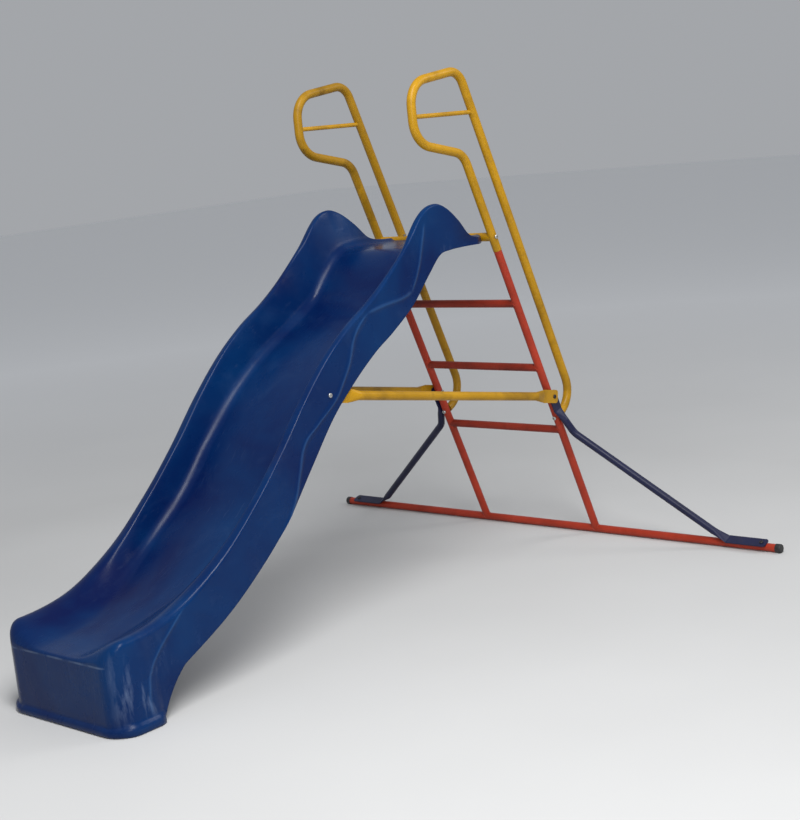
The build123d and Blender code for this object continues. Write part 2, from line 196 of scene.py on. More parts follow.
# ------------------------------------------------------------------ small helpers
def smooth_value(row_position, column):
    """A station value between the table's rows, on a curve that passes through them."""
    last = len(STATIONS) - 1
    k = 0
    while k < last - 1 and STATIONS[k + 1][0] <= row_position:
        k += 1
    x0, x1 = STATIONS[k][0], STATIONS[k + 1][0]
    y0, y1 = STATIONS[k][column], STATIONS[k + 1][column]

    def slope(i):
        low = max(i - 1, 0)
        high = min(i + 1, last)
        return (STATIONS[high][column] - STATIONS[low][column]) / (
            STATIONS[high][0] - STATIONS[low][0])

    span = x1 - x0
    t = min(max((row_position - x0) / span, 0.0), 1.0)
    m0, m1 = slope(k) * span, slope(k + 1) * span
    t2, t3 = t * t, t * t * t
    return ((2 * t3 - 3 * t2 + 1) * y0 + (t3 - 2 * t2 + t) * m0
            + (3 * t2 - 2 * t3) * y1 + (t3 - t2) * m1)


def ease(low, high, value):
    t = min(max((value - low) / (high - low), 0.0), 1.0)
    return t * t * (3 - 2 * t)


def place_piece(name, mesh, material, nodes=(), smooth_angle=40.0):
    """A finished piece: linked, shaded, on the slide's body and in its slot."""
    piece = bpy.data.objects.new(name, mesh)
    bpy.context.scene.collection.objects.link(piece)
    mesh.materials.append(material)
    for face in mesh.polygons:
        face.use_smooth = True
    mesh.set_sharp_from_angle(angle=math.radians(smooth_angle))
    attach(piece, "root")
    if nodes:
        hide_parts(*nodes)
    return piece


def mesh_from(bm, name, recalculate=True):
    if recalculate:
        bmesh.ops.recalc_face_normals(bm, faces=bm.faces)
    mesh = bpy.data.meshes.new(name)
    bm.to_mesh(mesh)
    bm.free()
    return mesh


# ------------------------------------------------------------------ finishes
class Finish:
    """One procedural material, put together node by node."""

    def __init__(self, name, metallic=0.0):
        self.material = bpy.data.materials.new(name)
        self.material.use_nodes = True
        self.tree = self.material.node_tree
        self.shader = self.tree.nodes["Principled BSDF"]
        self.shader.inputs["Metallic"].default_value = metallic
        self.place = self.tree.nodes.new("ShaderNodeTexCoord").outputs["Object"]
        self.normal = None

    def link(self, source, target):
        self.tree.links.new(source, target)

    def mapped(self, stretch):
        node = self.tree.nodes.new("ShaderNodeMapping")
        node.inputs["Scale"].default_value = stretch
        self.link(self.place, node.inputs["Vector"])
        return node.outputs["Vector"]

    def noise(self, scale, detail, roughness, stretch=(1, 1, 1), distortion=0.0):
        node = self.tree.nodes.new("ShaderNodeTexNoise")
        node.inputs["Scale"].default_value = scale
        node.inputs["Detail"].default_value = detail
        node.inputs["Roughness"].default_value = roughness
        node.inputs["Distortion"].default_value = distortion
        self.link(self.mapped(stretch), node.inputs["Vector"])
        return node.outputs["Fac"]

    def ramp(self, value, low, high, to_low=0.0, to_high=1.0):
        """A straight ramp between two values, level outside them."""
        node = self.tree.nodes.new("ShaderNodeMapRange")
        node.inputs["From Min"].default_value = low
        node.inputs["From Max"].default_value = high
        node.inputs["To Min"].default_value = to_low
        node.inputs["To Max"].default_value = to_high
        self.link(value, node.inputs["Value"])
        return node.outputs["Result"]

    def times(self, first, second):
        return self.math("MULTIPLY", first, second)

    def math(self, operation, first, second):
        node = self.tree.nodes.new("ShaderNodeMath")
        node.operation = operation
        for socket, value in zip(node.inputs, (first, second)):
            if isinstance(value, (int, float)):
                socket.default_value = value
            else:
                self.link(value, socket)
        return node.outputs["Value"]

    def axes(self):
        """The point's x, y and z, one output each."""
        node = self.tree.nodes.new("ShaderNodeSeparateXYZ")
        self.link(self.place, node.inputs["Vector"])
        return node.outputs

    def mix(self, share, first, second):
        node = self.tree.nodes.new("ShaderNodeMix")
        node.data_type = "RGBA"
        self.link(share, node.inputs["Factor"])
        for socket, value in ((node.inputs[6], first), (node.inputs[7], second)):
            if isinstance(value, bpy.types.NodeSocket):
                self.link(value, socket)
            else:
                socket.default_value = (*value, 1.0)
        return node.outputs[2]

    def bump(self, height, distance, strength=1.0):
        node = self.tree.nodes.new("ShaderNodeBump")
        node.inputs["Distance"].default_value = distance
        node.inputs["Strength"].default_value = strength
        self.link(height, node.inputs["Height"])
        if self.normal is not None:
            self.link(self.normal, node.inputs["Normal"])
        self.normal = node.outputs["Normal"]

    def done(self, color, roughness):
        self.link(color, self.shader.inputs["Base Color"])
        self.link(roughness, self.shader.inputs["Roughness"])
        if self.normal is not None:
            self.link(self.normal, self.shader.inputs["Normal"])
        return self.material


def lighter(color, factor, add=0.0):
    return tuple(min(1.0, channel * factor + add) for channel in color)


# Moulded lines on the skirts: (along, points). Each point is (y, z), and along says
# which of the two grows from point to point.
SKIRT_LINES = (
    ("Z", ((-0.531, 0.348), (-0.431, 0.470), (-0.388, 0.542), (-0.365, 0.603),
           (-0.327, 0.694), (-0.259, 0.745), (-0.159, 0.815), (-0.117, 0.867),
           (-0.086, 0.912), (-0.042, 1.005), (0.031, 1.067))),
    ("Y", ((0.031, 1.067), (0.120, 1.080), (0.210, 1.090), (0.259, 1.104))),
    ("Z", ((0.259, 1.104), (0.309, 1.191), (0.327, 1.241), (0.357, 1.327))),
    ("Z", ((-1.077, 0.040), (-1.073, 0.114), (-1.060, 0.161), (-1.028, 0.206),
           (-0.970, 0.262), (-0.900, 0.318))),
)


def moulded_line(finish, along, points, half_width):
    """How near a point of the skirt is to a moulded line, from 0 to 1 on the line."""
    sideways, lengthways, upward = finish.axes()
    if along == "Z":
        points = [(z, y) for y, z in points]
        position, across = upward, lengthways
    else:
        position, across = lengthways, upward
    start, end = points[0][0], points[-1][0]
    low = min(value for _, value in points) - 0.02
    high = max(value for _, value in points) + 0.02
    node = finish.tree.nodes.new("ShaderNodeFloatCurve")
    curve = node.mapping.curves[0]
    curve.points[0].location = (0.0, (points[0][1] - low) / (high - low))
    curve.points[1].location = (1.0, (points[-1][1] - low) / (high - low))
    for place, value in points[1:-1]:
        curve.points.new((place - start) / (end - start), (value - low) / (high - low))
    node.mapping.update()
    finish.link(finish.ramp(position, start, end), node.inputs["Value"])
    line = finish.ramp(node.outputs["Value"], 0.0, 1.0, low, high)
    apart = finish.math("ABSOLUTE", finish.math("SUBTRACT", across, line), 0.0)
    near = finish.ramp(apart, half_width, 0.0)
    fade = finish.times(finish.ramp(position, start - 0.005, start + 0.02),
                        finish.ramp(position, end + 0.005, end - 0.02))
    on_skirt = finish.ramp(finish.math("ABSOLUTE", sideways, 0.0),
                           SKIRT_FACE, SKIRT_FACE + 0.0015)
    return finish.times(finish.times(near, fade), on_skirt)


def moulded_plastic(name, deep, open_tone):
    """Rotomoulded polyethylene: two blues, a painted reflection haze, painted glints and
    highlights, sliding scuffs and a faint orange peel.
    """
    finish = Finish(name)
    finish.shader.inputs["Specular IOR Level"].default_value = 0.14
    tone = finish.ramp(finish.noise(2.3, 4, 0.5, distortion=0.5), 0.34, 0.66)
    color = finish.mix(tone, deep, open_tone)
    # Painted reflection: pale blue patches over the whole moulding stand in for reflected windows.
    painted_reflection_haze = finish.ramp(finish.noise(6.5, 7, 0.66, stretch=(1.2, 0.8, 1), distortion=0.6),
                        0.54, 0.76)
    color = finish.mix(finish.times(painted_reflection_haze, 0.045), color, (0.12, 0.20, 0.36))
    scuffs = finish.ramp(finish.noise(30, 5, 0.7, stretch=(5, 0.45, 0.45)), 0.60, 0.74)
    patches = finish.ramp(finish.noise(3.2, 3, 0.5), 0.42, 0.62)
    marks = finish.times(scuffs, patches)
    color = finish.mix(finish.times(marks, 0.07), color, (0.20, 0.28, 0.46))
    sideways, lengthways, up = finish.axes()
    outwards = finish.math("ABSOLUTE", sideways, 0.0)
    dust = finish.times(finish.ramp(up, 0.10, 0.0),
                        finish.ramp(finish.noise(14, 5, 0.6), 0.35, 0.7))
    color = finish.mix(finish.times(dust, 0.02), color, (0.16, 0.17, 0.20))
    trodden = finish.times(finish.ramp(up, 1.225, 1.258),
                           finish.ramp(finish.noise(9, 6, 0.65), 0.20, 0.60, 0.5, 1.0))
    trodden = finish.times(trodden, finish.ramp(lengthways, 0.50, 0.60))
    color = finish.mix(finish.times(trodden, 0.45), color, (0.016, 0.011, 0.012))
    # Painted reflection: pale streaks on the foot's outer corners, limited by the corner mask
    # below, stand in for streaky highlights there.
    painted_corner_glints = finish.ramp(finish.noise(26, 5, 0.65, stretch=(1, 1, 0.22), distortion=0.3),
                           0.50, 0.66)
    corner = finish.times(finish.ramp(outwards, 0.235, 0.268),
                          finish.ramp(lengthways, -0.98, -1.08))
    corner = finish.times(corner, finish.times(finish.ramp(up, 0.02, 0.07),
                                               finish.ramp(up, 0.30, 0.19)))
    color = finish.mix(finish.times(finish.times(painted_corner_glints, corner), 0.22), color,
                       (0.26, 0.34, 0.50))
    # Painted highlight: a pale wavy line along the foot's front top edge.
    painted_edge_highlight = finish.times(finish.ramp(lengthways, -1.1875, -1.1925),
                        finish.times(finish.ramp(up, 0.2095, 0.2130),
                                     finish.ramp(up, 0.2180, 0.2150)))
    painted_edge_highlight = finish.times(painted_edge_highlight, finish.ramp(finish.noise(20, 3, 0.5), 0.36, 0.60, 0.15, 1.0))
    color = finish.mix(finish.times(painted_edge_highlight, 0.22), color, (0.30, 0.40, 0.55))
    lines = None
    for along, points in SKIRT_LINES:
        line = moulded_line(finish, along, points, 0.008)
        lines = line if lines is None else finish.math("MAXIMUM", lines, line)
    # The moulded lines are also painted lighter along their ridges, a painted highlight; the bump
    # further down gives them their real relief.
    color = finish.mix(finish.times(lines, 0.22), color, (0.06, 0.16, 0.36))
    smears = finish.ramp(finish.noise(7, 5, 0.6, stretch=(1, 0.5, 0.7)), 0.30, 0.72, 0.17, 0.38)
    roughness = finish.math("ADD", smears, finish.times(marks, 0.14))
    finish.bump(finish.noise(11, 3, 0.5), 0.0022, 0.6)
    finish.bump(finish.noise(420, 2, 0.5), 0.0002, 0.35)
    finish.bump(marks, 0.0001, 0.5)
    finish.bump(lines, 0.0012, 0.7)
    return finish.done(color, roughness)


def powder_coat(name, base, rough=0.36, wear=0.5, dirt=(0.05, 0.035, 0.02)):
    """Sprayed paint on tube: a little uneven, rubbed lighter, with small chips and grime."""
    finish = Finish(name)
    finish.shader.inputs["Specular IOR Level"].default_value = 0.26
    tone = finish.ramp(finish.noise(6, 4, 0.55), 0.3, 0.7)
    color = finish.mix(tone, lighter(base, 0.86), lighter(base, 1.12))
    stained = finish.ramp(finish.noise(7, 5, 0.62, distortion=0.4), 0.50, 0.66)
    color = finish.mix(finish.times(stained, 0.75 * wear), color, lighter(base, 0.50))
    rubbed = finish.ramp(finish.noise(38, 5, 0.65, stretch=(1, 0.35, 0.35)), 0.60, 0.74)
    color = finish.mix(finish.times(rubbed, 0.22 * wear), color, lighter(base, 1.3, 0.08))
    grime = finish.ramp(finish.noise(22, 6, 0.7), 0.56, 0.76)
    color = finish.mix(finish.times(grime, 0.42 * wear), color, dirt)
    chips = finish.ramp(finish.noise(160, 3, 0.6), 0.735, 0.755)
    color = finish.mix(finish.times(chips, 0.85 * wear), color, (0.09, 0.075, 0.065))
    roughness = finish.math("ADD", finish.ramp(finish.noise(30, 4, 0.6), 0.3, 0.7,
                                                rough - 0.07, rough + 0.09),
                            finish.times(grime, 0.18))
    finish.bump(finish.noise(260, 2, 0.5), 0.00025, 0.35)
    finish.bump(chips, 0.0002, 0.6)
    return finish.done(color, roughness)


def plated_steel(name, base, rough, metallic=1.0):
    """Plated fasteners: fine turning marks, dull patches and a trace of dirt."""
    finish = Finish(name, metallic=metallic)
    tone = finish.ramp(finish.noise(90, 4, 0.6), 0.3, 0.7)
    color = finish.mix(tone, lighter(base, 0.75), base)
    dirt = finish.ramp(finish.noise(240, 4, 0.6), 0.6, 0.75)
    color = finish.mix(finish.times(dirt, 0.5), color, (0.08, 0.07, 0.06))
    roughness = finish.ramp(finish.noise(150, 4, 0.6), 0.3, 0.7, rough - 0.08, rough + 0.14)
    finish.bump(finish.noise(700, 3, 0.6), 0.00012, 0.5)
    return finish.done(color, roughness)


def cap_plastic(name):
    """Black moulded end cap, scuffed grey where it meets the ground."""
    finish = Finish(name)
    tone = finish.ramp(finish.noise(40, 4, 0.6), 0.3, 0.7)
    color = finish.mix(tone, (0.010, 0.010, 0.011), (0.026, 0.025, 0.026))
    scuff = finish.ramp(finish.noise(130, 5, 0.7), 0.58, 0.72)
    color = finish.mix(finish.times(scuff, 0.4), color, (0.12, 0.115, 0.11))
    roughness = finish.ramp(finish.noise(60, 4, 0.6), 0.3, 0.7, 0.42, 0.62)
    finish.bump(finish.noise(380, 3, 0.6), 0.0003, 0.5)
    return finish.done(color, roughness)


# ------------------------------------------------------------------ the chute's shape
class ChuteShape:
    """Where every point of the chute's outer face lies."""

    def __init__(self, settings):
        self.half = settings.half_width
        self.round = settings.rim_round
        self.flare = settings.foot_flare
        self.back = CHUTE_HIGH.y
        self.front = CAD_BOX[0][1] + BEAD_FRONT
        self.run = self.back - self.front
        self.deck = 1.260
        probe = [v.co.z for v in NODES["slide_chute"].data.vertices
                 if abs(v.co.x) < 0.12 and v.co.y > self.back - 0.05]
        if probe:
            self.deck = max(probe)
        self.drop = self.deck - EXIT_HEIGHT
        turn = math.atan2(1.0, WALL_FLARE)
        self.turn = turn
        self.tangent = BED_CORNER * math.tan(turn / 2)
        self.flat = BED_HALF - self.tangent
        self.arc = BED_CORNER * turn
        self.arc_top = BED_CORNER * (1 - math.cos(turn))

    def bed(self, y):
        return self.deck - smooth_value((self.back - y) / self.run, 1) * self.drop

    def steepness(self, y):
        step = 0.01
        rise = (self.bed(y + step) - self.bed(y - step)) / (2 * step)
        return 1 / math.sqrt(1 + rise * rise)

    def half_width(self, y):
        """Half the chute's width from above, narrower at the lip and round at the foot."""
        from_back = self.back - y
        if from_back < LIP_CORNER_RUN:
            t = from_back / LIP_CORNER_RUN
            return LIP_HALF + (self.half - LIP_HALF) * (t + 0.12 * math.sin(math.pi * t))
        from_front = y - self.front
        if from_front < FOOT_CORNER:
            inside = FOOT_CORNER - max(from_front, 0.0)
            return self.half - FOOT_CORNER + math.sqrt(max(FOOT_CORNER ** 2 - inside ** 2, 0.0))
        return self.half

    def wall_at(self, distance):
        """(out, up) on the channel's section, a distance along it from the middle."""
        if distance <= self.flat:
            return distance, 0.0
        if distance <= self.flat + self.arc:
            angle = (distance - self.flat) / BED_CORNER
            return self.flat + BED_CORNER * math.sin(angle), BED_CORNER * (1 - math.cos(angle))
        beyond = distance - self.flat - self.arc
        out = self.flat + BED_CORNER * math.sin(self.turn)
        return out + beyond * math.cos(self.turn), self.arc_top + beyond * math.sin(self.turn)

    def distance_at_height(self, up):
        if up <= self.arc_top:
            return self.flat + BED_CORNER * math.acos(1 - max(up, 0.0) / BED_CORNER)
        return self.flat + self.arc + (up - self.arc_top) / math.sin(self.turn)

    def distance_at_out(self, out):
        if out <= self.flat:
            return out
        if out <= self.flat + BED_CORNER * math.sin(self.turn):
            return self.flat + BED_CORNER * math.asin((out - self.flat) / BED_CORNER)
        beyond = out - self.flat - BED_CORNER * math.sin(self.turn)
        return self.flat + self.arc + beyond / math.cos(self.turn)

    def rim_height(self, y):
        rim = smooth_value((self.back - y) / self.run, 2)
        from_front = y - self.front
        if from_front < NOSE_RUN:
            back = (NOSE_RUN - max(from_front, 0.0)) / NOSE_RUN
            rim -= NOSE_DROP * (1 - math.sqrt(max(1 - back * back, 0.0)))
        return max(rim, 0.0)

    def dish(self, x, y):
        """The run-out is a shallow dish: its sides rise a little near the front edge."""
        share = ease(self.front + 0.34, self.front + 0.02, y)
        return FRONT_DISH * share * (abs(x) / 0.2) ** 2.4

    def dished(self, y, u):
        """(out, up) on the run-out, where bed, wall and rim melt into one shallow dish."""
        width = self.half_width(y)
        height = self.rim_height(y)
        crown = width - SIDE_ROUND
        if u < BREAKS[3]:
            out = crown * u / BREAKS[3]
            return out, height * ease(DISH_FLAT, crown, out)
        angle = (u - BREAKS[3]) / (1 - BREAKS[3]) * math.pi / 2
        return (crown + SIDE_ROUND * math.sin(angle),
                height - SIDE_DROP * (1 - math.cos(angle)))

    def section(self, y, across):
        """A point of the top face: across runs from -1 to 1 over the whole section."""
        side = -1 if across < 0 else 1
        u = abs(across)
        out, z = self.walled(y, u)
        share = ease(self.front + DISH_START, self.front + DISH_FULL, y)
        if share > 0:
            dish_out, dish_up = self.dished(y, u)
            out += share * (dish_out - out)
            z += share * (self.bed(y) + dish_up - z)
        return side * out, z + self.dish(out, y)

    def walled(self, y, u):
        """(out, z) on the full channel: flat bed, rounded corner, leaning wall, rolled rim."""
        width = self.half_width(y)
        steep = self.steepness(y)
        rim = self.rim_height(y) * steep
        edge = self.round
        limit = self.distance_at_out(width - 2.0 * edge)
        reach = min(self.distance_at_height(rim), limit)
        out_top, up_top = self.wall_at(reach)
        inner_start = max(reach - edge, self.flat * 0.6)
        arc_start = min(self.flat, inner_start * 0.86)
        arc_end = max(min(self.flat + self.arc, inner_start * 0.97), arc_start + 0.001)
        if u < BREAKS[0]:
            out, up = self.wall_at(arc_start * u / BREAKS[0])
        elif u < BREAKS[1]:
            t = (u - BREAKS[0]) / (BREAKS[1] - BREAKS[0])
            out, up = self.wall_at(arc_start + t * (arc_end - arc_start))
        elif u < BREAKS[2]:
            t = (u - BREAKS[1]) / (BREAKS[2] - BREAKS[1])
            out, up = self.wall_at(arc_end + t * (inner_start - arc_end))
        elif u < BREAKS[3]:
            t = (u - BREAKS[2]) / (BREAKS[3] - BREAKS[2])
            a = self.wall_at(inner_start)
            b = (out_top, up_top)
            c = (min(out_top + edge, width - edge), up_top)
            out = (1 - t) ** 2 * a[0] + 2 * t * (1 - t) * b[0] + t * t * c[0]
            up = (1 - t) ** 2 * a[1] + 2 * t * (1 - t) * b[1] + t * t * c[1]
        else:
            t = (u - BREAKS[3]) / (1 - BREAKS[3])
            start = min(out_top + edge, width - edge)
            angle = t * math.pi / 2
            out = start + (width - start) * math.sin(angle)
            up = up_top - edge * (1 - math.cos(angle)) * steep
        return out, self.bed(y) + up / steep

    def end_rounding(self, y):
        """How far the top face has turned down at its back and front ends."""
        drop = 0.0
        for room, radius in ((self.back - y, BACK_ROUND), (y - self.front, FRONT_ROUND)):
            if room < radius:
                inside = (radius - max(room, 0.0)) / radius
                drop = max(drop, radius * (1 - math.sqrt(max(1 - inside * inside, 0.0))))
        return drop


# Levels of the skirt from the rim down, as shares of its height, and what the floor
# bead adds outwards at each, as a share of its size.
PLAIN_LEVELS = 34
PLAIN_SHARE = 0.845
BEAD_START = 0.868
SKIRT_LEVELS = (
    *((PLAIN_SHARE * level / PLAIN_LEVELS, 0.0) for level in range(1, PLAIN_LEVELS + 1)),
    (BEAD_START, 0.12), (0.885, 0.55), (0.905, 0.88), (0.935, 1.0), (0.965, 0.96), (0.988, 0.75),
    (1.0, 0.45),
)


def row_places(shape, count):
    """Row positions from the lip's back edge to the front, closer at both ends."""
    back = [0.0, 0.0006, 0.0022, 0.005, 0.009, 0.020]
    front = [0.130, 0.105, 0.085, 0.072, 0.062, 0.052, 0.042, 0.033, 0.025, 0.018, 0.012,
             0.0075, 0.0040, 0.0016, 0.0004, 0.0]
    start, end = 0.035, shape.run - 0.150
    middle = [start + (end - start) * i / (count - 1) for i in range(count)]
    places = back + middle + [shape.run - f for f in front]
    return [shape.back - p for p in places]


def line_rise(y, z):
    """How much of the moulded lines' height a point of the skirt has, from 0 to 1."""
    rise = 0.0
    for _, points in SKIRT_LINES:
        ends = (Vector(points[0]), Vector(points[-1]))
        here = Vector((y, z))
        nearest = LINE_REACH
        for start, end in zip(points, points[1:]):
            a, b = Vector(start), Vector(end)
            t = min(max((here - a).dot(b - a) / (b - a).length_squared, 0.0), 1.0)
            nearest = min(nearest, (here - a - t * (b - a)).length)
        fade = min(1.0, min((here - end).length for end in ends) / 0.04)
        rise = max(rise, fade * ease(LINE_REACH, 0.0, nearest))
    return rise


def skirt_foot(shape, y):
    """(bottom point's y, z, share of the foot) under a point of the rim."""
    foot_back = shape.front + FOOT_DEPTH
    begin = shape.back - FOOT_TOP_SHARE * shape.run
    end = foot_back - 0.045
    if y >= begin:
        run = (shape.back - y) / shape.run
        low = shape.bed(y) - smooth_value(run, 3)
        return y, low, 0.0
    if y > end:
        t = (begin - y) / (begin - end)
        z0 = shape.bed(begin) - smooth_value(FOOT_TOP_SHARE, 3)
        p0, p1 = (begin, z0), (begin - 0.055, z0 * 0.70)
        p2, p3 = (foot_back + 0.004, z0 * 0.30), (foot_back - FOOT_BACK_LEAN, 0.0)
        a, b, c, d = (1 - t) ** 3, 3 * t * (1 - t) ** 2, 3 * t * t * (1 - t), t ** 3
        return (a * p0[0] + b * p1[0] + c * p2[0] + d * p3[0],
                a * p0[1] + b * p1[1] + c * p2[1] + d * p3[1], 0.0)
    settle = ease(end, end - 0.060, y)
    low_y = foot_back + (y - foot_back) * settle if y > end - 0.060 else y
    low_y = min(low_y, foot_back - FOOT_BACK_LEAN - 0.0015 * (1 - settle))
    return low_y, 0.0, ease(end + 0.004, end - 0.012, y)


def chute_mesh(settings):
    """The top face starts as a grid; its edge is pulled down level by level into the skirt."""
    shape = ChuteShape(settings)
    rows = row_places(shape, settings.rows)
    limits = (0.0, *BREAKS, 1.0)
    half_columns = [0.0]
    for low, high, count in zip(limits, limits[1:], DIVISIONS):
        half_columns += [low + (high - low) * i / count for i in range(1, count + 1)]
    columns = [-u for u in reversed(half_columns[1:])] + half_columns

    last_row, last_column = len(rows) - 1, len(columns) - 1
    bm = bmesh.new()
    bmesh.ops.create_grid(bm, x_segments=last_column, y_segments=last_row, size=1.0)
    rim_info = {}
    for vert in bm.verts:
        column = round((vert.co.x + 1) / 2 * last_column)
        row = last_row - round((vert.co.y + 1) / 2 * last_row)
        y = rows[row]
        x, z = shape.section(y, columns[column])
        if row == 0:
            out = Vector((0.0, 1.0))
        elif row == last_row:
            out = Vector((0.0, -1.0))
        else:
            out = Vector((1.0 if column else -1.0, 0.0))
            width_change = shape.half_width(y + 0.002) - shape.half_width(y - 0.002)
            if abs(width_change) > 1e-6:
                out = Vector((out.x, -width_change / 0.004)).normalized()
        z -= shape.end_rounding(y)
        vert.co = (x, y, z)
        rim_info[vert] = (x, y, z, out)

    ring = [e for e in bm.edges if e.is_boundary]
    source = {v: rim_info[v] for e in ring for v in e.verts}
    for share, bead in SKIRT_LEVELS:
        made = bmesh.ops.extrude_edge_only(bm, edges=ring)
        new_verts = {g: None for g in made["geom"] if isinstance(g, bmesh.types.BMVert)}
        next_source = {}
        for vert in new_verts:
            parent = next(e.other_vert(vert) for e in vert.link_edges
                          if e.other_vert(vert) in source)
            x, y, z, out = source[parent]
            if abs(x) < shape.half - 0.001 and y > shape.back - LIP_CORNER_RUN:
                low_y, low_z, foot = y, shape.deck - LIP_DEPTH, 0.0
            else:
                low_y, low_z, foot = skirt_foot(shape, y)
            spread = shape.flare * foot * min(1.0, share / BEAD_START)
            spread += BEAD_FRONT * foot * bead
            if y <= shape.front + FOOT_CORNER:
                corner = ease(shape.front + FOOT_CORNER, shape.front, y)
                spread -= corner * shape.flare * foot * min(1.0, share / BEAD_START)
            vert.co = (x + out.x * spread, y + (low_y - y) * share + out.y * spread,
                       z + (low_z - z) * share)
            if abs(x) > shape.half - 0.001 and vert.co.y > shape.front + FOOT_CORNER:
                raised = line_rise(vert.co.y, vert.co.z) * ease(0.0, 0.12, share)
                vert.co.x += math.copysign(settings.line_height * raised, x)
            next_source[vert] = source[parent]
        source = next_source
        ring = [e for e in bm.edges if e.is_boundary and all(v in new_verts for v in e.verts)]
    bmesh.ops.recalc_face_normals(bm, faces=bm.faces)
    top = max(bm.faces, key=lambda f: f.calc_center_median().z if abs(
        f.calc_center_median().x) < 0.05 else -1)
    if top.normal.z < 0:
        bmesh.ops.reverse_faces(bm, faces=bm.faces)
    return mesh_from(bm, "slide_chute_look", recalculate=False)


# ------------------------------------------------------------------ weld beads
def saddle_weld(centre, axis, across, tube, size, radius):
    """A bead round a tube's end where it meets another of the same size or larger.

    centre: on the other tube's middle line. axis: along the welded tube, away from it.
    across: along the other tube. radius: the other tube's.
    """
    bm = bmesh.new()
    seed = bmesh.ops.create_circle(bm, cap_ends=False, segments=6, radius=size)
    turn = Matrix.Rotation(math.pi / 2, 4, "X")
    bmesh.ops.transform(bm, matrix=Matrix.Translation((tube, 0, 0)) @ turn, verts=seed["verts"])
    bmesh.ops.spin(bm, geom=bm.edges[:], cent=(0, 0, 0), axis=(0, 0, 1), angle=math.tau,
                   steps=36, use_merge=True, use_duplicate=False)
    bmesh.ops.remove_doubles(bm, verts=bm.verts, dist=size / 20)
    side = axis.cross(across).normalized()
    base = Matrix((across, side, axis)).transposed().to_4x4()
    for vert in bm.verts:
        angle = math.atan2(vert.co.y, vert.co.x)
        offset = tube * math.sin(angle)
        ripple = 1 + 0.16 * math.sin(angle * 23)
        reach = math.sqrt(max(radius * radius - offset * offset, 0.0))
        ring = Vector((math.cos(angle), math.sin(angle), 0.0)) * tube
        vert.co = ring + (vert.co - ring) * ripple + Vector((0, 0, reach))
    bmesh.ops.transform(bm, matrix=Matrix.Translation(centre) @ base, verts=bm.verts)
    return bm


def weld_piece(name, beads, material):
    whole = bmesh.new()
    for bead in beads:
        scratch = bpy.data.meshes.new("bead")
        bead.to_mesh(scratch)
        bead.free()
        whole.from_mesh(scratch)
        bpy.data.meshes.remove(scratch)
    return place_piece(name, mesh_from(whole, name), material)


def node_middle(name):
    low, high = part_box(name)
    return (low + high) / 2


# ------------------------------------------------------------------ operators
class SLIDE_OT_chute(bpy.types.Operator):
    """Build the moulded chute with its rolled rim, skirts and dished foot"""
    bl_idname = "slide.chute"
    bl_label = "Chute"

    def execute(self, context):
        settings = context.scene.slide_chute
        material = moulded_plastic("chute_plastic", settings.deep_blue, settings.open_blue)
        mesh = chute_mesh(settings)
        piece = place_piece("chute_moulding", mesh, material, ("slide_chute",), 35)
        shell = piece.modifiers.new("wall", "SOLIDIFY")
        shell.thickness = settings.wall
        shell.offset = -1.0
        shell.use_even_offset = False
        if len(mesh.polygons) < 1000:
            raise RuntimeError("the chute's surface is incomplete")
        return {"FINISHED"}


class SLIDE_OT_frame(bpy.types.Operator):
    """Paint the ladder, handrails, struts, braces and the base bar"""
    bl_idname = "slide.frame"
    bl_label = "Tube frame"

    def execute(self, context):
        settings = context.scene.slide_tube
        finishes = {
            "frame_red": powder_coat("ladder_paint", settings.red, 0.40, 0.6),
            "rail_yellow": powder_coat("rail_paint", settings.yellow, 0.36, 0.8),
            "brace_blue": powder_coat("brace_paint", settings.blue, 0.38, 0.7, (0.06, 0.05, 0.05)),
            "zinc_steel": plated_steel("zinc_plate", (0.62, 0.62, 0.60), 0.34),
            "dark_steel": plated_steel("dark_coating", (0.045, 0.04, 0.045), 0.42, 0.6),
            "cap_black": cap_plastic("cap_plastic"),
        }
        # Painted shade: the rungs and the left handrail get darker copies of the ladder and rail
        # paint, and the left one also gets stronger stains and grime.
        shaded_paints = {
            "rung_": powder_coat("rung_paint_shaded", lighter(settings.red, 0.68), 0.42, 0.9),
            "handrail_left": powder_coat("left_rail_paint_shaded", lighter(settings.yellow, 0.74),
                                         0.40, 1.0, (0.04, 0.022, 0.008)),
        }
        slots = {row["node"]: row["material_slot"] for row in frame["record"]["subparts"]}
        for name, node in NODES.items():
            if name == "slide_chute":
                continue
            # Rungs and the left handrail take their darker painted-shade copy of the paint.
            shaded_paint = [paint for start, paint in shaded_paints.items() if name.startswith(start)]
            node.data.materials.clear()
            node.data.materials.append(shaded_paint[0] if shaded_paint else finishes[slots[name]])
        return {"FINISHED"}


class SLIDE_OT_welds(bpy.types.Operator):
    """Lay weld beads where rungs meet stiles and stiles meet the base bar"""
    bl_idname = "slide.welds"
    bl_label = "Weld beads"

    def execute(self, context):
        settings = context.scene.slide_tube
        red = bpy.data.materials["ladder_paint"]
        along = Vector((1, 0, 0))
        bar = node_middle("base_bar")
        stile = node_middle("stile_right")
        upper = node_middle("rung_upper")
        lower = node_middle("rung_lower")
        up = (upper - lower).normalized()
        beads = []
        tube = (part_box("rung_lower")[1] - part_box("rung_lower")[0]).y / 2
        for name in ("rung_lower", "rung_middle", "rung_upper"):
            middle = node_middle(name)
            for side in (-1, 1):
                centre = Vector((side * stile.x, middle.y, middle.z))
                beads.append(saddle_weld(centre, -side * along, up, tube, settings.weld_size, tube))
        for side in (-1, 1):
            centre = Vector((side * stile.x, bar.y, bar.z))
            beads.append(saddle_weld(centre, up, along, tube, settings.weld_size, tube))
        weld_piece("ladder_welds", beads, red)
        return {"FINISHED"}


